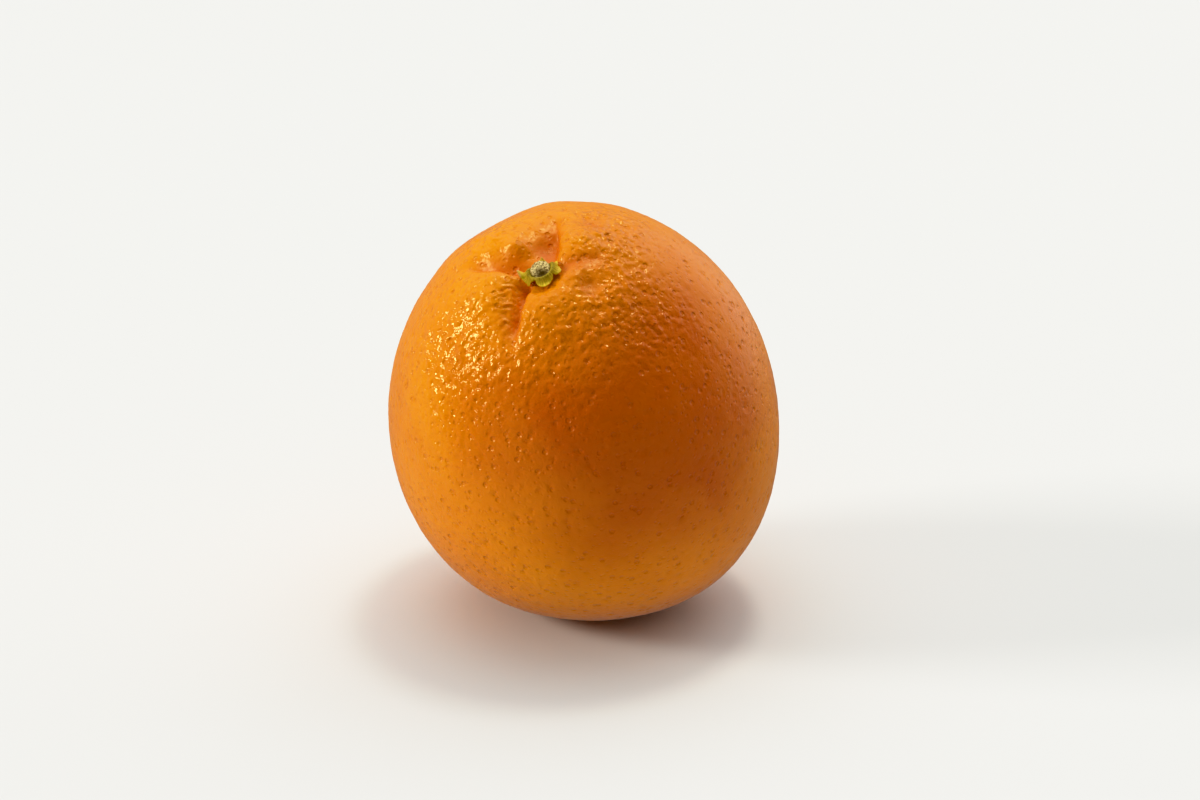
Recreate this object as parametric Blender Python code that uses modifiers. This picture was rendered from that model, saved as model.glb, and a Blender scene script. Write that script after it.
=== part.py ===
"""An orange, as picked: the fruit, its dried calyx and the stub of its stem.

Units are metres, +Z is up and the front is towards -Y. The fruit rests on a
small flat spot at z = 0, with its stem end leaning to the front and the left.
The world origin is the middle of that spot.
"""

import math

import bmesh
import bpy
import numpy as np
from mathutils import Matrix, Vector

MM = 0.001

# Driving dimensions of the fruit
EQUATOR_RADIUS = 38.7 * MM  # half the width across the stem axis
POLE_RADIUS = 42.0 * MM  # half the height along the stem axis
STEM_END_NARROWING = 0.037  # the stem half is that much narrower, the lower half wider
CORE_LEAN = (-0.095, 0.012)  # sideways shift of the core for each metre towards the stem
STEM_TILT = math.radians(34.4)  # of the core, from straight up
STEM_HEADING = math.radians(23.4)  # from the front towards the left
BASE_SOFTNESS = 3.8 * MM  # how far up the underside is blunted by lying
REST_SPOT_SINK = 0.4 * MM  # how much of the blunted bottom the flat spot takes away
PLAY = 0.3 * MM  # the gap that touching pieces keep

# Relief of the peel. Azimuths are in degrees about the stem, from straight down
# the slope towards the right. Other sizes are in millimetres over the surface.
CAVITY_DEPTH = 2.3 * MM
CAVITY_RADIUS = 5.2 * MM
FURROW_START = 2.4 * MM
FURROWS = (
    # "before" and "after" are the crease's widths on the two sides of its line
    {"azimuth": -22, "bend": 20, "length": 15.5, "depth": 1.9, "before": 3.4, "after": 1.1},
    {"azimuth": -101, "bend": 3, "length": 18.0, "depth": 1.7, "before": 3.0, "after": 1.2},
    {"azimuth": 168, "bend": 30, "length": 21.0, "depth": 1.7, "before": 1.2, "after": 2.6},
    {"azimuth": 130, "bend": 0, "length": 12.5, "depth": 0.8, "before": 1.6, "after": 1.6},
)
HOLLOWS = (
    {"azimuth": 206, "distance": 8.2, "depth": 1.2, "spread": 3.4},
    {"azimuth": 94, "distance": 11.8, "depth": 0.8, "spread": 2.6},
)
SWELLINGS = (
    # the lobes between the creases, then the fuller side that the fruit leans back on
    {"azimuth": -66, "distance": 12.0, "height": 0.9, "spread": 5.5},
    {"azimuth": 36, "distance": 9.0, "height": 0.9, "spread": 4.5},
    {"azimuth": 150, "distance": 13.0, "height": 0.7, "spread": 4.0},
    {"azimuth": -118, "distance": 17.0, "height": 0.7, "spread": 5.5},
    {"azimuth": 72, "distance": 84.0, "height": 2.4, "spread": 23.0},
)
NAVEL_DEPTH = 1.0 * MM
NAVEL_RADIUS = 3.2 * MM

# Calyx: a thin disc drawn out into sepals
SEPALS = 5
FIRST_SEPAL = math.radians(-96)
CALYX_RADIUS = 3.9 * MM  # to the sepals' tips
CALYX_NOTCH = 0.36  # how far the edge comes in between two sepals, as a share
CALYX_HALF_THICKNESS = 0.4 * MM
CALYX_CUPPING = 1.4 * MM  # how far the tips curl up above the middle
CALYX_LIFT = 0.5 * MM  # from the floor of the stem cavity

# Stub of the stem
STUB_RADIUS = 1.6 * MM
STUB_WAIST = 1.3 * MM
STUB_HEIGHT = 1.9 * MM
STUB_HOLLOW = 0.7 * MM  # depth of the hollow in its broken end
STUB_EDGE = 0.15 * MM  # rounding of its foot and rim

# Fineness of the meshes
FRUIT_SEGMENTS = 90
FRUIT_RINGS = 46
RING_CROWDING = 0.42  # how strongly the rings crowd towards the stem
CALYX_SEGMENTS = 8 * SEPALS
CALYX_RINGS = 12
STUB_STEPS = 24


def clear_scene():
    for item in list(bpy.data.objects):
        bpy.data.objects.remove(item, do_unlink=True)


def new_collection(name):
    collection = bpy.data.collections.new(name)
    bpy.context.scene.collection.children.link(collection)
    return collection


def new_material(name, colour, roughness):
    """A plain Principled BSDF in one colour, for a piece that isn't metal."""
    material = bpy.data.materials.new(name)
    material.use_nodes = True
    shader = material.node_tree.nodes["Principled BSDF"]
    shader.inputs["Base Color"].default_value = (*colour, 1)
    shader.inputs["Roughness"].default_value = roughness
    shader.inputs["Metallic"].default_value = 0
    material.diffuse_color = (*colour, 1)
    return material


def new_piece(name, shape, material, collection):
    """Turns a bmesh into a smooth-shaded object in the collection."""
    mesh = bpy.data.meshes.new(name)
    shape.to_mesh(mesh)
    shape.free()
    mesh.shade_smooth()
    mesh.set_sharp_from_angle(angle=math.radians(40))
    mesh.materials.append(material)
    piece = bpy.data.objects.new(name, mesh)
    collection.objects.link(piece)
    return piece


def smooth_step(low, high, value):
    share = np.clip((value - low) / (high - low), 0, 1)
    return share * share * (3 - 2 * share)


def wrapped_angle(angle):
    return (angle + math.pi) % (2 * math.pi) - math.pi


def bell(distance, spread):
    """One at the middle, falling smoothly to nothing beyond the spread."""
    return np.exp(-((distance / spread) ** 2))


def furrow_depth(furrow, polar, azimuth):
    """A crease that runs out from the stem, wider on one side of its line."""
    distance = polar * EQUATOR_RADIUS
    along = distance / (furrow["length"] * MM)
    line = np.radians(furrow["azimuth"] + furrow["bend"] * along)
    across = wrapped_angle(azimuth - line) * EQUATOR_RADIUS * np.sin(polar)
    width = np.where(across < 0, furrow["before"], furrow["after"]) * MM
    opening = smooth_step(0, FURROW_START, distance)
    fading = 1 - smooth_step(0.55, 1.15, along)
    return furrow["depth"] * MM * bell(across, width) * opening * fading


def distance_from(place, polar, azimuth):
    """How far over the surface these points are from a named place on it."""
    centre = place["distance"] * MM / EQUATOR_RADIUS
    turn = azimuth - math.radians(place["azimuth"])
    level = np.cos(polar) * math.cos(centre)
    aside = np.sin(polar) * math.sin(centre) * np.cos(turn)
    return np.arccos(np.clip(level + aside, -1, 1)) * EQUATOR_RADIUS


def sunk_depth(polar, azimuth):
    """How far the peel lies below the plain egg shape at these angles."""
    depth = CAVITY_DEPTH * bell(polar * EQUATOR_RADIUS, CAVITY_RADIUS)
    depth = depth + NAVEL_DEPTH * bell((math.pi - polar) * EQUATOR_RADIUS, NAVEL_RADIUS)
    for furrow in FURROWS:
        depth = depth + furrow_depth(furrow, polar, azimuth)
    for hollow in HOLLOWS:
        apart = distance_from(hollow, polar, azimuth)
        depth = depth + hollow["depth"] * MM * bell(apart, hollow["spread"] * MM)
    for swelling in SWELLINGS:
        apart = distance_from(swelling, polar, azimuth)
        depth = depth - swelling["height"] * MM * bell(apart, swelling["spread"] * MM)
    return depth


def peel_points(polar, azimuth):
    """Points of the peel about the fruit's middle, with the core along +Z."""
    narrowing = 1 - STEM_END_NARROWING * np.cos(polar)
    ring_radius = EQUATOR_RADIUS * np.sin(polar) * narrowing
    height = POLE_RADIUS * np.cos(polar)
    x = ring_radius * np.cos(azimuth) + CORE_LEAN[0] * height
    y = ring_radius * np.sin(azimuth) + CORE_LEAN[1] * height
    points = np.stack([x, y, height], axis=-1)
    out = np.linalg.norm(points, axis=-1, keepdims=True)
    return points * (1 - sunk_depth(polar, azimuth)[..., None] / out)


def lying_turn():
    """The turn from the fruit's own axes to how it lies: its +X points down the slope."""
    flat = math.sin(STEM_TILT)
    left = flat * math.sin(STEM_HEADING)
    front = flat * math.cos(STEM_HEADING)
    core = Vector((-left, -front, math.cos(STEM_TILT)))
    downhill = (core * core.z - Vector((0, 0, 1))).normalized()
    return Matrix((downhill, core.cross(downhill), core)).transposed()


def fruit_shape(turn):
    """The fruit as it lies on its flat spot, and where its middle then is."""
    shape = bmesh.new()
    bmesh.ops.create_uvsphere(shape, u_segments=FRUIT_SEGMENTS, v_segments=FRUIT_RINGS, radius=1)
    start = np.array([vert.co for vert in shape.verts])
    even_polar = np.arccos(np.clip(start[:, 2], -1, 1))
    polar = even_polar - RING_CROWDING * np.sin(even_polar) * (1 + np.cos(even_polar)) / 2
    azimuth = np.arctan2(start[:, 1], start[:, 0])
    points = peel_points(polar, azimuth) @ np.array(turn).T
    bottom = points[:, 2].min()
    blunted = BASE_SOFTNESS * np.log1p(np.exp((points[:, 2] - bottom) / BASE_SOFTNESS))
    floor = blunted.min() + REST_SPOT_SINK
    points[:, 2] = blunted - floor
    for vert, point in zip(shape.verts, points):
        vert.co = point

    everything = shape.verts[:] + shape.edges[:] + shape.faces[:]
    cut = bmesh.ops.bisect_plane(
        shape, geom=everything, dist=1e-6, plane_co=(0, 0, 0), plane_no=(0, 0, -1), clear_outer=True
    )
    rim = [item for item in cut["geom_cut"] if isinstance(item, bmesh.types.BMEdge)]
    bmesh.ops.contextual_create(shape, geom=rim)
    bmesh.ops.recalc_face_normals(shape, faces=shape.faces[:])
    corners = {vert for edge in rim for vert in edge.verts}
    spot = sum((vert.co for vert in corners), Vector()) / len(corners)
    bmesh.ops.translate(shape, verts=shape.verts[:], vec=(-spot.x, -spot.y, 0))
    return shape, Vector((-spot.x, -spot.y, -bottom - floor))


def calyx_shape():
    """A flat lens drawn out into sepals and curled up, on the middle of its underside."""
    shape = bmesh.new()
    bmesh.ops.create_uvsphere(shape, u_segments=CALYX_SEGMENTS, v_segments=CALYX_RINGS, radius=1)
    for vert in shape.verts:
        azimuth = math.atan2(vert.co.y, vert.co.x)
        out = math.hypot(vert.co.x, vert.co.y)
        between = 0.5 - 0.5 * math.cos(SEPALS * (azimuth - FIRST_SEPAL))
        reach = CALYX_RADIUS * (1 - CALYX_NOTCH * between * out)
        vert.co.x *= reach
        vert.co.y *= reach
        vert.co.z = CALYX_HALF_THICKNESS * (1 + vert.co.z) + CALYX_CUPPING * out**4
    return shape


def stub_profile():
    """Half the stub's outline, from the middle of its hollow end to the middle of its foot."""
    return (
        (0, STUB_HEIGHT - STUB_HOLLOW),
        (STUB_RADIUS * 0.45, STUB_HEIGHT - 0.8 * STUB_HOLLOW),
        (STUB_RADIUS * 0.7, STUB_HEIGHT - STUB_EDGE),
        (STUB_RADIUS * 0.85, STUB_HEIGHT),
        (STUB_RADIUS, STUB_HEIGHT - 2 * STUB_EDGE),
        (STUB_WAIST, STUB_HEIGHT * 0.4),
        (STUB_WAIST + STUB_EDGE, STUB_EDGE),
        (STUB_WAIST, 0),
        (0, 0),
    )


def make_stub(material, collection):
    """The stub, turned about the core by a Screw modifier."""
    outline = bmesh.new()
    points = [outline.verts.new((radius, 0, height)) for radius, height in stub_profile()]
    for start, end in zip(points, points[1:]):
        outline.edges.new((start, end))
    stub = new_piece("stem_stub", outline, material, collection)
    screw = stub.modifiers.new("turned", "SCREW")
    screw.steps = STUB_STEPS
    screw.render_steps = STUB_STEPS
    screw.use_merge_vertices = True
    screw.merge_threshold = 0.01 * MM
    return stub


def make_stem_end(turn, middle, fruit, collection):
    """An empty on the floor of the stem cavity, with the core along its +Z."""
    floor = peel_points(np.array(0.0), np.array(0.0))
    stem_end = bpy.data.objects.new("stem_end", None)
    stem_end.empty_display_size = CALYX_RADIUS
    stem_end.parent = fruit
    stem_end.location = middle + turn @ Vector(floor)
    stem_end.rotation_euler = turn.to_euler()
    collection.objects.link(stem_end)
    return stem_end


def build():
    clear_scene()
    pieces = new_collection("orange")
    peel = new_material("orange_peel", (0.87, 0.24, 0.01), 0.42)
    sepal = new_material("dried_sepal", (0.31, 0.32, 0.06), 0.65)
    bark = new_material("stem_bark", (0.17, 0.17, 0.05), 0.8)

    turn = lying_turn()
    shape, middle = fruit_shape(turn)
    fruit = new_piece("fruit", shape, peel, pieces)
    stem_end = make_stem_end(turn, middle, fruit, pieces)

    calyx = new_piece("calyx", calyx_shape(), sepal, pieces)
    calyx.parent = stem_end
    calyx.location.z = CALYX_LIFT

    stub = make_stub(bark, pieces)
    stub.parent = stem_end
    stub.location.z = CALYX_LIFT + 2 * CALYX_HALF_THICKNESS + PLAY


build()
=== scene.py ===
"""Looks of an orange as picked: its peel, its dried calyx and the stub of its stem."""

import math

import bpy
import numpy as np
from mathutils import Matrix, Vector, kdtree, noise


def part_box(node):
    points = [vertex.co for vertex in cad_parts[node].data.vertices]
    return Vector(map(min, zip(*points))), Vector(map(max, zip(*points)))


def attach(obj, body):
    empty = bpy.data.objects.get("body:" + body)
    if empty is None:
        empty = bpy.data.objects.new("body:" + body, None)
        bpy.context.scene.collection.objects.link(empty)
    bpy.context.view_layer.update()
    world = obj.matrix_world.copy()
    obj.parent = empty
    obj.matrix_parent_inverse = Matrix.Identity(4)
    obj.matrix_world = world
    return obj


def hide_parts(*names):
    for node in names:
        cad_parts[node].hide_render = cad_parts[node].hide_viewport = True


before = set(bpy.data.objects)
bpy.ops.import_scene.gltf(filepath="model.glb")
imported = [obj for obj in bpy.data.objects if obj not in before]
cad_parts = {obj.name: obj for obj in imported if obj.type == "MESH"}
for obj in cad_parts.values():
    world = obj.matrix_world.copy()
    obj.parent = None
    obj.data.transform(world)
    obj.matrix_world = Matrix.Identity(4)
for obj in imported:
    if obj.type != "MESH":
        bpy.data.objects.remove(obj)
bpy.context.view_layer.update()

MM = 0.001

# The egg shape of the fruit, in metres and radians, with its core along +Z
EQUATOR_RADIUS = 38.7 * MM
POLE_RADIUS = 42.0 * MM
STEM_END_NARROWING = 0.037
CORE_LEAN = (-0.095, 0.012)
STEM_TILT = math.radians(34.4)
STEM_HEADING = math.radians(23.4)
BASE_SOFTNESS = 3.8 * MM
REST_SPOT_SINK = 0.4 * MM
CAVITY_DEPTH = 2.3 * MM
CAVITY_RADIUS = 5.2 * MM
NAVEL_DEPTH = 1.0 * MM
NAVEL_RADIUS = 3.2 * MM
SCAR_HEIGHT = 0.5 * MM
SCAR_RADIUS = 1.0 * MM

# Large relief. A place is two distances over the peel from the stem, in millimetres:
# downhill, then to the right. Depths, heights and spreads are in millimetres too.
CREASES = (
    {"start": (1.2, -2.0), "end": (16.5, -0.8), "bow": -0.5, "depth": 2.6, "left": 0.7, "right": 2.6},
    {"start": (-0.6, -1.8), "end": (-1.8, -19), "bow": 0.4, "depth": 2.4, "left": 0.9, "right": 2.8},
    {"start": (-1.6, 1.0), "end": (-18.5, -4.0), "bow": -0.7, "depth": 2.9, "left": 3.4, "right": 0.7},
    {"start": (-1.8, 2.3), "end": (-8, 13), "bow": 0.8, "depth": 0.7, "left": 1.4, "right": 2.2},
)
HOLLOWS = (
    {"place": (-8.4, -3.2), "depth": 1.7, "spread": 3.4},
    {"place": (-3.4, -7.0), "depth": 1.2, "spread": 3.2},
    {"place": (0.2, 10.6), "depth": 0.9, "spread": 2.4},
    {"place": (-17, 4.4), "depth": 0.6, "spread": 2.4},
)
SWELLINGS = (
    {"place": (5.2, -10), "height": 1.2, "spread": 5.2},
    {"place": (7.5, 4.0), "height": 1.2, "spread": 4.6},
    {"place": (-10, 6.0), "height": 1.1, "spread": 4.4},
    {"place": (-9.5, -15), "height": 1.0, "spread": 5.5},
    {"place": (-6.6, -8.0), "height": 1.6, "spread": 2.0},
    {"place": (-0.8, 6.4), "height": 0.8, "spread": 2.8},
    {"place": (-29, -11), "height": 0.5, "spread": 6},
    {"place": (-33, 3), "height": 0.3, "spread": 6},
    {"place": (-10, -27), "height": 0.4, "spread": 6},
    {"place": (-19.5, -19.5), "height": -0.4, "spread": 4},
    {"place": (26, 80), "height": 2.4, "spread": 23},
)
CREASE_ROUNDING = 0.3
WRINKLED_CREASE = CREASES[0]
WRINKLE_SPACING = 2.0
WRINKLE_PLACE = 3.2
WRINKLE_SPREAD = 2.0
WRINKLE_DRIFT = 1.1
WRINKLE_DRIFT_SIZE = 2.4 * MM
WRINKLE_DEPTH = 0.2 * MM

# Where the peel is pebbled most
ROUGH_PATCHES = (
    {"place": (18, -16), "strength": 0.9, "spread": 11},
    {"place": (30, -12), "strength": 0.5, "spread": 8},
    {"place": (5, 17), "strength": 0.9, "spread": 9},
    {"place": (1, 25), "strength": 0.7, "spread": 8},
    {"place": (19, 5), "strength": 0.5, "spread": 7},
    {"place": (-9, -17), "strength": 1.0, "spread": 6},
    {"place": (-19, 6), "strength": 1.1, "spread": 7},
    {"place": (-11, 10), "strength": 0.8, "spread": 6},
)

# Fine relief: oil glands and the pebbling between them
RING_CROWDING = 0.5
GLAND_SPACING = 2.3 * MM
GLAND_RADIUS = 0.5 * MM
PEBBLE_SIZE = 1.6 * MM
GRAIN_SIZE = 0.8 * MM
SWELL_SIZE = 5 * MM
SWELL_HEIGHT = 0.07 * MM
STEM_END_SWELL_HEIGHT = 0.34 * MM
PEBBLE_HEIGHT = 0.26 * MM
GRAIN_HEIGHT = 0.15 * MM
GLAND_DEPTH = 0.22 * MM
CALM_AT_REST_SPOT = 3 * MM
BALL_UNEVENNESS = 0.0105
STEM_END_REACH = 26 * MM

# The side painted darker and redder as shade, as a direction from the middle
PAINTED_SHADE_SIDE = np.array((0.25, -0.8, 0.36))

# Calyx and stem stub, in millimetres and degrees about the stem from downhill
CALYX_LIFT = 0.5
CALYX_SHIFT = Vector((-0.5 * MM, 0, 0))
CALYX_SEGMENTS = 80
COLLAR_RADIUS = 2.4
COLLAR_HEIGHT = 1.6
CUP_RADIUS = 2.7
SEPAL_THICKNESS = 0.35
SEPALS = (
    {"azimuth": -76, "length": 2.0, "half_width": 36, "curl": 1.5},
    {"azimuth": -42, "length": 0.7, "half_width": 28, "curl": 0.4},
    {"azimuth": 36, "length": 1.4, "half_width": 40, "curl": 0.2},
    {"azimuth": 104, "length": 1.4, "half_width": 38, "curl": 0.6},
    {"azimuth": 150, "length": 1.2, "half_width": 34, "curl": 0.5},
    {"azimuth": 202, "length": 1.6, "half_width": 28, "curl": 2.6},
    {"azimuth": 233, "length": 0.8, "half_width": 30, "curl": 0.2},
)
TORN_HOLLOW = {"place": (1.1, 0.95), "depth": 1.1, "spread": 1.2}


def smooth_step(low, high, value):
    share = np.clip((value - low) / (high - low), 0, 1)
    return share * share * (3 - 2 * share)


def bell(distance, spread):
    return np.exp(-((distance / spread) ** 2))


def stem_map(polar, azimuth):
    """Distances over the peel from the stem, downhill and to the right, in millimetres."""
    distance = polar * EQUATOR_RADIUS / MM
    return np.stack([distance * np.cos(azimuth), distance * np.sin(azimuth)], axis=-1)


def crease_position(crease, places):
    """How far along the crease each place is, from 0 to 1, and how far to its left in mm."""
    start = np.array(crease["start"], dtype=float)
    run = np.array(crease["end"]) - start
    length = np.hypot(*run)
    ahead = run / length
    along = (places - start) @ ahead / length
    across = (places - start) @ np.array((-ahead[1], ahead[0]))
    return along, across - crease["bow"] * 4 * along * (1 - along)


def crease_share(crease, places):
    """One along the bottom of a crease, falling away to its left and right."""
    along, across = crease_position(crease, places)
    width = np.where(across > 0, crease["left"], crease["right"])
    share = np.exp(CREASE_ROUNDING - np.hypot(across / width, CREASE_ROUNDING))
    return share * smooth_step(-0.06, 0.14, along) * (1 - smooth_step(0.6, 1.1, along))


def patch_share(patch, polar, azimuth):
    """One in the middle of a patch of the peel, falling away over its spread."""
    down, right = patch["place"]
    centre = math.hypot(down, right) * MM / EQUATOR_RADIUS
    turn = azimuth - math.atan2(right, down)
    level = np.cos(polar) * math.cos(centre)
    aside = np.sin(polar) * math.sin(centre) * np.cos(turn)
    apart = np.arccos(np.clip(level + aside, -1, 1)) * EQUATOR_RADIUS
    return bell(apart, patch["spread"] * MM)


def sunk_depth(polar, azimuth):
    """How far the peel lies below the plain egg shape at these angles."""
    places = stem_map(polar, azimuth)
    depth = CAVITY_DEPTH * bell(polar * EQUATOR_RADIUS, CAVITY_RADIUS)
    from_scar = (math.pi - polar) * EQUATOR_RADIUS
    depth = depth + NAVEL_DEPTH * bell(from_scar, NAVEL_RADIUS)
    depth = depth - SCAR_HEIGHT * bell(from_scar, SCAR_RADIUS)
    for crease in CREASES:
        depth = depth + crease["depth"] * MM * crease_share(crease, places)
    for hollow in HOLLOWS:
        depth = depth + hollow["depth"] * MM * patch_share(hollow, polar, azimuth)
    for swelling in SWELLINGS:
        depth = depth - swelling["height"] * MM * patch_share(swelling, polar, azimuth)
    return depth


def peel_points(polar, azimuth):
    """Points of the smooth peel about the fruit's middle, with the core along +Z."""
    narrowing = 1 - STEM_END_NARROWING * np.cos(polar)
    ring_radius = EQUATOR_RADIUS * np.sin(polar) * narrowing
    height = POLE_RADIUS * np.cos(polar)
    x = ring_radius * np.cos(azimuth) + CORE_LEAN[0] * height
    y = ring_radius * np.sin(azimuth) + CORE_LEAN[1] * height
    points = np.stack([x, y, height], axis=-1)
    out = np.linalg.norm(points, axis=-1, keepdims=True)
    return points * (1 - sunk_depth(polar, azimuth)[..., None] / out)


def lying_turn():
    """The turn from the fruit's own axes to how it lies: its +X points down the slope."""
    flat = math.sin(STEM_TILT)
    left = flat * math.sin(STEM_HEADING)
    front = flat * math.cos(STEM_HEADING)
    core = Vector((-left, -front, math.cos(STEM_TILT)))
    downhill = (core * core.z - Vector((0, 0, 1))).normalized()
    return Matrix((downhill, core.cross(downhill), core)).transposed()


def lie_down(points):
    """The points as they lie on the blunted underside, and where the fruit's middle then is."""
    turned = points @ np.array(lying_turn()).T
    bottom = turned[:, 2].min()
    blunted = BASE_SOFTNESS * np.log1p(np.exp((turned[:, 2] - bottom) / BASE_SOFTNESS))
    floor = blunted.min() + REST_SPOT_SINK
    turned[:, 2] = np.maximum(blunted - floor, 0)
    low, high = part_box("fruit")
    shift = (np.array(low) + np.array(high) - turned.min(0) - turned.max(0)) / 2
    shift[2] = 0
    return turned + shift, Vector((shift[0], shift[1], -bottom - floor))


def mesh_values(mesh, name):
    values = np.empty(len(mesh.vertices) * 3)
    mesh.vertices.foreach_get(name, values)
    return values.reshape(-1, 3)


def set_points(mesh, points):
    mesh.vertices.foreach_set("co", np.ascontiguousarray(points, dtype=float).ravel())
    mesh.update()


def add_attribute(mesh, name, values):
    """Stores one number, or one vector, for each point, for the material to read."""
    values = np.ascontiguousarray(values, dtype=np.float32)
    if values.ndim == 1:
        mesh.attributes.new(name, "FLOAT", "POINT").data.foreach_set("value", values)
    else:
        mesh.attributes.new(name, "FLOAT_VECTOR", "POINT").data.foreach_set("vector", values.ravel())


def noise_at(points, size, seed, octaves=1):
    """Smooth noise of about -1 to 1 that changes over the given size."""
    shift = Vector((seed * 17.3, seed * 5.1, seed * 9.7))
    values = np.zeros(len(points))
    for octave in range(octaves):
        scale = 2**octave / size
        spots = [Vector(point) * scale + shift for point in points]
        rounded = [noise.noise(spot, noise_basis="PERLIN_NEW") for spot in spots]
        values += 0.5**octave * np.array(rounded)
    return values


def start_piece(name):
    """Names the primitive that was just added."""
    piece = bpy.context.object
    piece.name = name
    piece.data.name = name
    return piece


def point_tree(points):
    tree = kdtree.KDTree(len(points))
    for index, point in enumerate(points):
        tree.insert(point, index)
    tree.balance()
    return tree


def pick_glands(points, spacing, seed):
    """Picks places at random that keep at least the given spacing from each other."""
    tree = point_tree(points)
    free = np.ones(len(points), dtype=bool)
    picked = []
    for index in np.random.default_rng(seed).permutation(len(points)):
        if free[index]:
            picked.append(index)
            for _, near, _ in tree.find_range(points[index], spacing[index]):
                free[near] = False
    return np.array(picked)


def stem_angles(directions):
    """Angles from the stem and about it, with the points of the ball crowded to the stem."""
    even = np.arccos(np.clip(directions[:, 2], -1, 1))
    polar = even - RING_CROWDING * np.sin(even) * (1 + np.cos(even)) / 2
    return polar, np.arctan2(directions[:, 1], directions[:, 0])


def unit(vectors):
    return vectors / np.linalg.norm(vectors, axis=1, keepdims=True)


def add_ball(rng):
    """A ball of uneven triangles, and how many of its points came before the last cuts."""
    bpy.ops.object.select_all(action="DESELECT")
    bpy.ops.mesh.primitive_ico_sphere_add(subdivisions=6, radius=1)
    ball = start_piece("peel")
    corners = mesh_values(ball.data, "co")
    nudges = rng.uniform(-BALL_UNEVENNESS, BALL_UNEVENNESS, corners.shape)
    set_points(ball.data, unit(corners + nudges))
    bpy.ops.object.mode_set(mode="EDIT")
    bpy.ops.mesh.select_all(action="SELECT")
    bpy.ops.mesh.subdivide(number_cuts=2)
    bpy.ops.object.mode_set(mode="OBJECT")
    return ball, len(corners)


def gland_pits(points, corner_count, closeness, rng):
    """Draws points in around each oil gland, and returns how deep in a gland each one is."""
    spacing = GLAND_SPACING * (1 - 0.2 * closeness[:corner_count])
    spacing = spacing * rng.uniform(0.85, 1.35, corner_count)
    glands = pick_glands(points[:corner_count], spacing, 3)
    tree = point_tree(points[glands])
    found = [tree.find(point) for point in points]
    nearest = np.array([item[1] for item in found])
    apart = np.array([item[2] for item in found])
    pull = 0.62 + 0.38 * smooth_step(0.35 * MM, 1.0 * MM, apart)
    centres = points[glands][nearest]
    points = centres + (points - centres) * pull[:, None]
    size = rng.uniform(0.7, 1.25, len(glands))[nearest]
    depth = rng.uniform(0.3, 1.1, len(glands))[nearest]
    pit = bell(apart * pull, GLAND_RADIUS * size) * depth
    return points, pit


def add_bake_map(mesh, directions):
    """Unfolds the ball onto one square, stem end in the middle, as the map for baking."""
    corner_points = np.empty(len(mesh.loops), dtype=int)
    mesh.loops.foreach_get("vertex_index", corner_points)
    faces = corner_points.reshape(-1, 3)
    flat = directions / np.abs(directions).sum(axis=1, keepdims=True)
    side = np.where(flat[faces].mean(axis=1)[:, :2] < 0, -1.0, 1.0)
    side = np.repeat(side, 3, axis=0)
    spot = flat[corner_points]
    under = spot[:, 2] < 0
    folded = side * (1 - (side * spot[:, :2])[:, ::-1])
    places = np.where(under[:, None], folded, spot[:, :2])
    layer = mesh.uv_layers.get("OFBake") or mesh.uv_layers.new(name="OFBake")
    layer.data.foreach_set("uv", (0.5 + 0.49 * places).astype(np.float32).ravel())


def add_peel():
    """The peel: a ball drawn onto the fruit's shape, then creased, pebbled and pitted."""
    rng = np.random.default_rng(7)
    peel, corner_count = add_ball(rng)
    mesh = peel.data
    directions = unit(mesh_values(mesh, "co"))
    add_bake_map(mesh, directions)
    polar, azimuth = stem_angles(directions)
    places = stem_map(polar, azimuth)
    from_stem = np.hypot(*places.T)
    from_scar = (math.pi - polar) * EQUATOR_RADIUS
    points, middle = lie_down(peel_points(polar, azimuth))

    closeness = 1 - smooth_step(0.3, 1.15, polar * EQUATOR_RADIUS / STEM_END_REACH)
    furrow = np.max([crease_share(crease, places) for crease in CREASES], axis=0)
    rough = 0.12 + 0.38 * closeness
    for patch in ROUGH_PATCHES:
        rough = rough + patch["strength"] * patch_share(patch, polar, azimuth)
    basin = np.max([patch_share(hollow, polar, azimuth) for hollow in HOLLOWS], axis=0)
    rough = rough * (1 - np.clip(furrow * 1.2 + basin, 0, 0.95)) * smooth_step(2, 6, from_stem)

    points, pit = gland_pits(points, corner_count, closeness, rng)
    set_points(mesh, points)
    swell_height = SWELL_HEIGHT + STEM_END_SWELL_HEIGHT * closeness
    relief = swell_height * noise_at(points, SWELL_SIZE, 2, 2)
    relief += PEBBLE_HEIGHT * rough * (2 * np.abs(noise_at(points, PEBBLE_SIZE, 1)) - 0.5)
    relief += GRAIN_HEIGHT * rough * noise_at(points, GRAIN_SIZE, 4)
    relief -= GLAND_DEPTH * (1 - 0.8 * furrow) * pit

    along, across = crease_position(WRINKLED_CREASE, places)
    wall = bell(across + WRINKLE_PLACE, WRINKLE_SPREAD)
    wall = wall * smooth_step(0, 0.2, along) * (1 - smooth_step(0.6, 0.85, along))
    length = math.dist(WRINKLED_CREASE["start"], WRINKLED_CREASE["end"])
    drift = WRINKLE_DRIFT * noise_at(points, WRINKLE_DRIFT_SIZE, 5)
    phase = along * length / WRINKLE_SPACING + drift
    relief += WRINKLE_DEPTH * wall * np.cos(2 * math.pi * phase)

    lift = relief * smooth_step(0, CALM_AT_REST_SPOT, points[:, 2])
    points = points + mesh_values(mesh, "normal") * lift[:, None]
    points[:, 2] = np.maximum(points[:, 2], 0)
    set_points(mesh, points)
    mesh.shade_smooth()
    add_attribute(mesh, "gland", pit)
    # How far into a crease or hollow each point lies, which the peel material paints darker as shade
    add_attribute(mesh, "crease", np.clip(furrow + 0.5 * basin, 0, 1))
    add_attribute(mesh, "stem_end", closeness)
    add_attribute(mesh, "rough", rough)
    add_attribute(mesh, "scar", bell(from_scar, 1.2 * SCAR_RADIUS))
    # Painted shade: how far each point faces the front side, which the peel material paints darker and
    # redder
    add_attribute(mesh, "painted_shade", smooth_step(0.3, 1.0, unit(points - middle) @ PAINTED_SHADE_SIDE))
    return peel, middle


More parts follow.
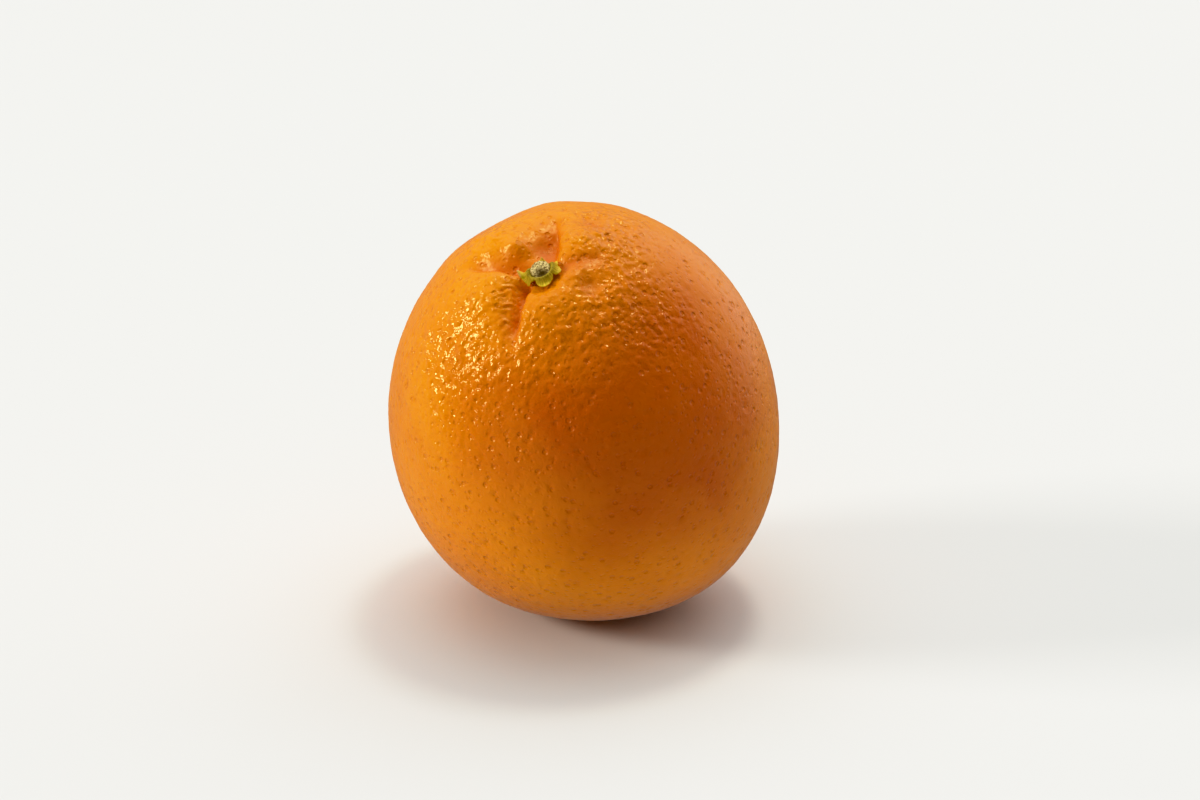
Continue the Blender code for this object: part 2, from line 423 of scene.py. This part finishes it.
def turned_cage(name, profile, segments):
    """A closed turned form, drawn up ring by ring from its foot, as radii and heights in mm."""
    bpy.ops.object.select_all(action="DESELECT")
    radius, height = profile[0]
    place = (0, 0, height * MM)
    bpy.ops.mesh.primitive_circle_add(
        vertices=segments, radius=radius * MM, fill_type="NGON", location=place
    )
    bpy.ops.object.transform_apply()
    cage = start_piece(name)
    bpy.ops.object.mode_set(mode="EDIT")
    bpy.ops.mesh.select_all(action="SELECT")
    for next_radius, next_height in profile[1:]:
        bpy.ops.mesh.extrude_region_move()
        ratio = next_radius / radius
        bpy.ops.transform.resize(value=(ratio, ratio, 1))
        bpy.ops.transform.translate(value=(0, 0, (next_height - height) * MM))
        radius, height = next_radius, next_height
    bpy.ops.mesh.select_all(action="SELECT")
    bpy.ops.mesh.normals_make_consistent(inside=False)
    bpy.ops.object.mode_set(mode="OBJECT")
    return cage


def apply_subdivision(piece, levels):
    smoother = piece.modifiers.new("rounded", "SUBSURF")
    smoother.levels = levels
    smoother.render_levels = levels
    bpy.ops.object.modifier_apply(modifier=smoother.name)


def cylinder_places(mesh):
    """Each point's angle about the stem, distance from it and height, in millimetres."""
    points = mesh_values(mesh, "co") / MM
    return np.arctan2(points[:, 1], points[:, 0]), np.hypot(points[:, 0], points[:, 1]), points[:, 2]


def set_cylinder_places(mesh, azimuth, out, height):
    around = np.column_stack([np.cos(azimuth) * out, np.sin(azimuth) * out])
    set_points(mesh, np.column_stack([around, height]) * MM)


def sepal_reach(azimuth):
    """How far the calyx reaches in each direction, and how much it curls up there, in mm."""
    reach = np.full(len(azimuth), 0.15)
    curl = np.zeros(len(azimuth))
    for sepal in SEPALS:
        turn = (azimuth - math.radians(sepal["azimuth"]) + math.pi) % (2 * math.pi) - math.pi
        share = np.clip(1 - np.abs(turn) / math.radians(sepal["half_width"]), 0, 1) ** 0.75
        reach = np.maximum(reach, sepal["length"] * share)
        curl = curl + sepal["curl"] * share
    return reach, curl


def bed_height(azimuth, out):
    """How high the peel rises round the stem, over the height at the stem, in millimetres."""
    stem_height = peel_points(np.array(0.0), np.array(0.0))[2]
    heights = peel_points(out * MM / EQUATOR_RADIUS, azimuth)[:, 2]
    return (heights - stem_height) / MM


def add_calyx():
    """The dried calyx: a collar round the stub, spreading into five uneven sepals."""
    shares = (0.15, 0.35, 0.5, 0.62, 0.74, 0.86, 1.0)
    profile = [(0.9, 0)]
    profile += [(0.9 + 4 * share, 0) for share in shares]
    profile += [(0.9 + 4 * share, SEPAL_THICKNESS) for share in reversed(shares)]
    profile += [(0.9, SEPAL_THICKNESS)]
    calyx = turned_cage("dried_calyx", profile, CALYX_SEGMENTS)
    apply_subdivision(calyx, 1)
    mesh = calyx.data
    azimuth, out, height = cylinder_places(mesh)
    around = np.column_stack([np.cos(azimuth), np.sin(azimuth)])
    fibre = noise_at(np.column_stack([9 * around, 0.2 * out]), 1.0, 8)
    share = np.clip((out - 1.5) / 3.4, 0, 1)
    reach, curl = sepal_reach(azimuth + 0.15 * noise_at(np.column_stack([2 * around, out]), 1.0, 6))
    spread = CUP_RADIUS - 1.5 + reach + 0.2 * fibre
    radius = np.where(out < 1.5, out, 1.5 + share * spread)
    tip = np.clip((radius - CUP_RADIUS) / 2.2, 0, 1)
    collar = COLLAR_HEIGHT * bell(radius - COLLAR_RADIUS, 0.75)
    height = height * (1 - 0.5 * tip) + collar + curl * tip**1.5
    height += 0.12 * fibre * smooth_step(0, 0.4, share)
    height += CALYX_LIFT + bed_height(azimuth, radius)
    set_cylinder_places(mesh, azimuth, radius, height)
    mesh.shade_smooth()
    add_attribute(mesh, "fibre", np.column_stack([22 * around, 0.5 * radius]))
    add_attribute(mesh, "tip", tip)
    return calyx


def add_stub():
    """The stub of the stem: a low button of dry bark round a torn end, hollow on one side."""
    profile = ((1.5, 0.5), (1.8, 0.6), (1.95, 1.0), (1.95, 1.5), (1.9, 1.9), (1.75, 2.15))
    profile += ((1.5, 2.25), (1.2, 2.3), (0.9, 2.32), (0.6, 2.34), (0.3, 2.35), (0.05, 2.35))
    stub = turned_cage("torn_stem_stub", profile, 40)
    apply_subdivision(stub, 2)
    mesh = stub.data
    azimuth, out, height = cylinder_places(mesh)
    around = np.column_stack([np.cos(azimuth), np.sin(azimuth)])
    top = smooth_step(1.7, 2.15, height)
    apart = np.hypot(*(out * around.T - np.array(TORN_HOLLOW["place"])[:, None]))
    hollow = bell(apart, TORN_HOLLOW["spread"]) * top
    fibre = noise_at(np.column_stack([5 * around, 0.5 * height]), 1.0, 9)
    torn = noise_at(np.column_stack([out[:, None] * around, height]), 0.4, 10, 2)
    add_attribute(mesh, "fibre", np.column_stack([14 * around, 0.6 * height]))
    # The torn hollow, which the stem material paints dark as shade
    add_attribute(mesh, "hollow", hollow)
    add_attribute(mesh, "top", top)
    height = height + top * 0.16 * torn - TORN_HOLLOW["depth"] * hollow
    set_cylinder_places(mesh, azimuth, out + 0.08 * fibre, height + CALYX_LIFT)
    mesh.shade_smooth()
    return stub


def seat_at_stem(piece, middle):
    """Moves a piece from the stem's own frame to where the stem is on the fruit."""
    turn = lying_turn()
    stem = Vector(peel_points(np.array(0.0), np.array(0.0)))
    seat = middle + turn @ (stem + CALYX_SHIFT)
    piece.data.transform(Matrix.Translation(seat) @ turn.to_4x4())


def srgb(code):
    """A colour as linear values, from its sRGB hex code."""
    parts = [int(code[start : start + 2], 16) / 255 for start in (0, 2, 4)]
    linear = [((part + 0.055) / 1.055) ** 2.4 if part > 0.04045 else part / 12.92 for part in parts]
    return (*linear, 1)


def add_node(tree, kind, inputs=None, **settings):
    """Adds a node, sets it up, and fills its sockets with values or with nodes and their outputs."""
    made = tree.nodes.new("ShaderNode" + kind)
    for name, value in settings.items():
        setattr(made, name, value)
    for socket, value in (inputs or {}).items():
        if isinstance(value, bpy.types.Node):
            value = next(out for out in value.outputs if out.enabled)
        if isinstance(value, bpy.types.NodeSocket):
            tree.links.new(value, made.inputs[socket])
        else:
            made.inputs[socket].default_value = value
    return made


def start_material(name):
    material = bpy.data.materials.new(name)
    material.use_nodes = True
    return material, material.node_tree, material.node_tree.nodes["Principled BSDF"]


def citrus_peel():
    """Waxy orange peel: saturated orange, deeper in the glands (partly their own colour, partly painted
    shade), with painted shade in the creases and hollows and on the front side, and a soft waxy gloss.
    """
    material, tree, shader = start_material("waxy_citrus_peel")
    place = add_node(tree, "TexCoord").outputs["Object"]
    gland = add_node(tree, "Attribute", attribute_name="gland").outputs["Fac"]
    crease = add_node(tree, "Attribute", attribute_name="crease").outputs["Fac"]
    stem_end = add_node(tree, "Attribute", attribute_name="stem_end").outputs["Fac"]
    rough = add_node(tree, "Attribute", attribute_name="rough").outputs["Fac"]

    # Colour: broad patches about 17 mm across, painted shade that makes the front side darker and
    # redder, yellower at the stem
    patches = add_node(tree, "TexNoise", {"Vector": place, "Scale": 60, "Detail": 3}).outputs["Fac"]
    painted_shade = add_node(tree, "Attribute", attribute_name="painted_shade").outputs["Fac"]
    # Painted shade on the front side, added to the random patches of tone
    share = add_node(tree, "Math", {0: patches, 1: 0.7, 2: painted_shade}, operation="MULTIPLY_ADD")
    share = add_node(tree, "MapRange", {0: share, 1: 0.3, 2: 1.22})
    colour = add_node(tree, "Mix", {0: share, 6: srgb("F28E0C"), 7: srgb("C45610")}, data_type="RGBA")
    lobes = add_node(tree, "Math", {0: stem_end, 1: 0.35}, operation="MULTIPLY")
    colour = add_node(tree, "Mix", {0: lobes, 6: colour, 7: srgb("F29A0A")}, data_type="RGBA")
    # Painted shade: creases and hollows are painted darker and redder
    crease_painted_shade = add_node(tree, "Math", {0: crease, 1: 0.75}, operation="MULTIPLY")
    colour = add_node(tree, "Mix", {0: crease_painted_shade, 6: colour, 7: srgb("C65606")}, data_type="RGBA")

    # Small dents: oil glands 2.4 mm apart and finer pores 1.3 mm apart, darker inside, partly the
    # glands' own deeper colour and partly painted shade in the dents
    glands = add_node(tree, "TexVoronoi", {"Vector": place, "Scale": 1 / 0.0024}).outputs["Distance"]
    gland_edge = {0: glands, 1: 0.28, 2: 0.1}
    gland_dent = add_node(tree, "MapRange", gland_edge, interpolation_type="SMOOTHSTEP")
    pores = add_node(tree, "TexVoronoi", {"Vector": place, "Scale": 1 / 0.0013}).outputs["Distance"]
    pore_edge = {0: pores, 1: 0.3, 2: 0.08, 4: 0.45}
    pore_dent = add_node(tree, "MapRange", pore_edge, interpolation_type="SMOOTHSTEP")
    dents = add_node(tree, "Math", {0: gland_dent, 1: pore_dent}, operation="MAXIMUM")
    pit = add_node(tree, "Math", {0: dents, 1: gland}, operation="ADD")
    pit = add_node(tree, "Math", {0: pit, 1: 0.16}, operation="MULTIPLY")
    # Darker in the glands and dents: partly their own colour, partly painted shade
    colour = add_node(tree, "Mix", {0: pit, 6: colour, 7: srgb("B64A04")}, data_type="RGBA")
    scar = add_node(tree, "Attribute", attribute_name="scar").outputs["Fac"]
    colour = add_node(tree, "Mix", {0: scar, 6: colour, 7: srgb("7A5418")}, data_type="RGBA")
    tree.links.new(colour.outputs["Result"], shader.inputs["Base Color"])

    # Relief: crisp folds 1.4 mm apart over lumps 1.8 mm across where the peel is rough, soft
    # folds 1.1 mm apart all over, and the dents
    crisp_folds = {"Vector": place, "Scale": 1 / 0.0014, "Detail": 1, "Distortion": 0.5}
    ridges = add_node(tree, "TexNoise", crisp_folds, noise_type="RIDGED_MULTIFRACTAL")
    cells = add_node(tree, "TexVoronoi", {"Vector": place, "Scale": 1 / 0.0018}, feature="SMOOTH_F1")
    cells.inputs["Smoothness"].default_value = 0.4
    lumps = add_node(tree, "Math", {0: cells.outputs["Distance"], 1: -1.1}, operation="MULTIPLY")
    pebbles = add_node(tree, "Math", {0: ridges, 1: 0.95, 2: lumps}, operation="MULTIPLY_ADD")
    pebbles = add_node(tree, "Math", {0: pebbles, 1: rough}, operation="MULTIPLY")
    soft_folds = {"Vector": place, "Scale": 1 / 0.0011, "Detail": 2, "Distortion": 0.8}
    folds = add_node(tree, "TexNoise", soft_folds)
    height = add_node(tree, "Math", {0: folds, 1: 0.65, 2: pebbles}, operation="MULTIPLY_ADD")
    height = add_node(tree, "Math", {0: height, 1: dents}, operation="SUBTRACT")
    bump = add_node(tree, "Bump", {"Strength": 1.0, "Distance": 0.0002, "Height": height})
    tree.links.new(bump.outputs[0], shader.inputs["Normal"])
    # Gloss: waxy all over, with a tighter shine on the rough places, where glints show
    shine = add_node(tree, "Math", {0: patches, 1: 0.6, 2: rough}, operation="MULTIPLY_ADD")
    gloss = add_node(tree, "MapRange", {0: shine, 1: 0.3, 2: 1.2, 3: 0.36, 4: 0.08})
    tree.links.new(gloss.outputs[0], shader.inputs["Roughness"])
    shader.inputs["IOR"].default_value = 1.45
    shader.inputs["Specular IOR Level"].default_value = 0.58
    shader.inputs["Specular Tint"].default_value = srgb("FFCE6C")
    shader.inputs["Subsurface Weight"].default_value = 0.1
    shader.inputs["Subsurface Radius"].default_value = (1.0, 0.35, 0.1)
    shader.inputs["Subsurface Scale"].default_value = 0.0015
    return material


def dried_sepal():
    """Half-dried sepal: olive at the collar, yellow-green blades, papery tan at the edges."""
    material, tree, shader = start_material("half_dried_sepal")
    # Blotches about 1.1 mm across, and veins that run outwards along the sepals
    place = add_node(tree, "TexCoord").outputs["Object"]
    fibre = add_node(tree, "Attribute", attribute_name="fibre").outputs["Vector"]
    tip = add_node(tree, "Attribute", attribute_name="tip").outputs["Fac"]
    blotch = add_node(tree, "TexNoise", {"Vector": place, "Scale": 900, "Detail": 3}).outputs["Fac"]
    veins = add_node(tree, "TexNoise", {"Vector": fibre, "Scale": 1.0, "Detail": 3}).outputs["Fac"]
    vein = add_node(tree, "MapRange", {0: veins, 1: 0.4, 2: 0.62})
    collar = add_node(tree, "Mix", {0: vein, 6: srgb("846A02"), 7: srgb("B0981A")}, data_type="RGBA")
    blade = add_node(tree, "Mix", {0: vein, 6: srgb("C4B006"), 7: srgb("EBBB30")}, data_type="RGBA")
    outer = add_node(tree, "MapRange", {0: tip, 1: 0.0, 2: 0.45})
    colour = add_node(tree, "Mix", {0: outer, 6: collar, 7: blade}, data_type="RGBA")
    dry = add_node(tree, "Math", {0: tip, 1: blotch}, operation="ADD")
    dry = add_node(tree, "MapRange", {0: dry, 1: 1.1, 2: 1.4})
    colour = add_node(tree, "Mix", {0: dry, 6: colour, 7: srgb("D9A35C")}, data_type="RGBA")
    tree.links.new(colour.outputs["Result"], shader.inputs["Base Color"])
    bump = add_node(tree, "Bump", {"Strength": 0.7, "Distance": 0.00008, "Height": veins})
    tree.links.new(bump.outputs[0], shader.inputs["Normal"])
    shader.inputs["Roughness"].default_value = 0.6
    shader.inputs["IOR"].default_value = 1.45
    shader.inputs["Specular IOR Level"].default_value = 0.2
    return material


def torn_stem():
    """Dry stem: olive bark with lengthwise fibres, pale where it tore, with painted shade making the
    hollow dark.
    """
    material, tree, shader = start_material("torn_dry_stem")
    # Specks 0.4 mm across on the torn end, and fibres that run down the bark
    place = add_node(tree, "TexCoord").outputs["Object"]
    fibre = add_node(tree, "Attribute", attribute_name="fibre").outputs["Vector"]
    hollow = add_node(tree, "Attribute", attribute_name="hollow").outputs["Fac"]
    hollow = add_node(tree, "MapRange", {0: hollow, 1: 0.2, 2: 0.6})
    top = add_node(tree, "Attribute", attribute_name="top").outputs["Fac"]
    specks = add_node(tree, "TexNoise", {"Vector": place, "Scale": 2600, "Detail": 3}).outputs["Fac"]
    lines = add_node(tree, "TexNoise", {"Vector": fibre, "Scale": 1.0, "Detail": 3}).outputs["Fac"]
    line = add_node(tree, "MapRange", {0: lines, 1: 0.4, 2: 0.6})
    bark = add_node(tree, "Mix", {0: line, 6: srgb("6E5A0C"), 7: srgb("A8923A")}, data_type="RGBA")
    speck = add_node(tree, "MapRange", {0: specks, 1: 0.42, 2: 0.55})
    wood = add_node(tree, "Mix", {0: speck, 6: srgb("82682E"), 7: srgb("D8C07A")}, data_type="RGBA")
    colour = add_node(tree, "Mix", {0: top, 6: bark, 7: wood}, data_type="RGBA")
    # Painted shade: the torn hollow is painted dark
    colour = add_node(tree, "Mix", {0: hollow, 6: colour, 7: srgb("5E480A")}, data_type="RGBA")
    tree.links.new(colour.outputs["Result"], shader.inputs["Base Color"])
    bump = add_node(tree, "Bump", {"Strength": 0.8, "Distance": 0.0001, "Height": specks})
    tree.links.new(bump.outputs[0], shader.inputs["Normal"])
    shader.inputs["Roughness"].default_value = 0.75
    shader.inputs["Specular IOR Level"].default_value = 0.3
    return material


def pale_card():
    """Matt pale card under the fruit."""
    material, _, shader = start_material("matt_pale_card")
    shader.inputs["Base Color"].default_value = srgb("DCDCD8")
    shader.inputs["Roughness"].default_value = 0.9
    shader.inputs["Specular IOR Level"].default_value = 0.2
    return material


def add_table():
    bpy.ops.object.select_all(action="DESELECT")
    bpy.ops.mesh.primitive_plane_add(size=12, location=(0, 0, 0))
    table = start_piece("table")
    table.visible_glossy = False
    table.data.materials.append(pale_card())


def add_light(name, place, size, power, colour):
    """A square softbox that faces the fruit."""
    light = bpy.data.lights.new(name, "AREA")
    light.shape = "SQUARE"
    light.size = size
    light.energy = power
    light.color = srgb(colour)[:3]
    lamp = bpy.data.objects.new(name, light)
    lamp.location = place
    facing = Vector((0, 0, 0.04)) - Vector(place)
    lamp.rotation_euler = facing.to_track_quat("-Z", "Y").to_euler()
    bpy.context.scene.collection.objects.link(lamp)


def add_lights():
    add_light("left_softbox", (-4.0, -0.24, 1.55), 1.15, 127, "FFFAF0")
    add_light("overhead_lamp", (0.25, 0.4, 1.7), 0.3, 8, "FFFAEC")
    add_light("right_fill", (1.4, 1.2, 0.76), 2.2, 12, "FFF8F4")


def add_glow(tree, way, start, strength):
    """Light from round one way of looking, none at the start and all of it right that way."""
    looking = add_node(tree, "TexCoord").outputs["Generated"]
    facing = add_node(tree, "VectorMath", {0: looking, 1: way}, operation="DOT_PRODUCT").outputs["Value"]
    limits = {0: facing, 1: start, 2: 1.0, 3: 0.0, 4: strength}
    return add_node(tree, "MapRange", limits, interpolation_type="SMOOTHSTEP")


def add_room():
    """A softly lit room, brightest in the ceiling behind the fruit, dim in gloss, pale to see."""
    world = bpy.data.worlds.new("studio")
    world.use_nodes = True
    tree = world.node_tree
    ceiling = add_glow(tree, (0, 0.36, 0.933), 0.7, 1.63)
    walls = add_glow(tree, (0, 0, 1), 0.1, 0.69)
    both = add_node(tree, "Math", {0: ceiling, 1: walls}, operation="ADD")
    path = add_node(tree, "LightPath")
    in_gloss = path.outputs["Is Glossy Ray"]
    share = add_node(tree, "Math", {0: in_gloss, 1: -0.7, 2: 1.0}, operation="MULTIPLY_ADD")
    dim = add_node(tree, "Math", {0: in_gloss, 1: 0.2}, operation="MULTIPLY")
    glow = add_node(tree, "Math", {0: both, 1: share, 2: dim}, operation="MULTIPLY_ADD")
    seen = path.outputs["Is Camera Ray"]
    glow = add_node(tree, "Mix", {0: seen, 2: glow.outputs[0], 3: 0.85})
    sky = tree.nodes["Background"]
    sky.inputs["Color"].default_value = srgb("F8FCFF")
    tree.links.new(glow.outputs[0], sky.inputs["Strength"])
    bpy.context.scene.world = world


def ease_bright_tones(mapping):
    """Keeps dark and middle tones as they are, and eases the bright ones into white."""
    mapping.black_level = (0.005, 0.005, 0.005)
    mapping.white_level = (1.25, 1.25, 1.25)
    tones = mapping.curves[3].points
    for level, shown in ((0.16, 0.2), (0.32, 0.4), (0.48, 0.6), (0.64, 0.78), (0.8, 0.9)):
        tones.new(level, shown)
    tones[-1].location = (1, 0.99)
    mapping.update()


def add_camera():
    elevation = math.radians(23)
    distance = 0.62
    aim = Vector((-0.0008, 0, 0.0405))
    away = Vector((0, -math.cos(elevation), math.sin(elevation))) * distance
    camera = bpy.data.cameras.new("camera")
    camera.lens = 93.5
    camera.sensor_width = 36
    camera.shift_x = 0.0162
    camera.shift_y = 0.0082
    seat = bpy.data.objects.new("camera", camera)
    seat.location = aim + away
    seat.rotation_euler = (-away).to_track_quat("-Z", "Y").to_euler()
    bpy.context.scene.collection.objects.link(seat)
    bpy.context.scene.camera = seat


def finish_piece(piece, material, node):
    """Gives a piece its material and says which part of the frame it stands for."""
    piece.data.materials.append(material)
    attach(piece, "root")
    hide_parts(node)


def main():
    add_camera()
    peel, middle = add_peel()
    finish_piece(peel, citrus_peel(), "fruit")
    calyx = add_calyx()
    seat_at_stem(calyx, middle)
    finish_piece(calyx, dried_sepal(), "calyx")
    stub = add_stub()
    seat_at_stem(stub, middle)
    finish_piece(stub, torn_stem(), "stem_stub")
    add_table()
    add_lights()
    add_room()
    view = bpy.context.scene.view_settings
    view.view_transform = "Standard"
    view.use_curve_mapping = True
    ease_bright_tones(view.curve_mapping)


main()
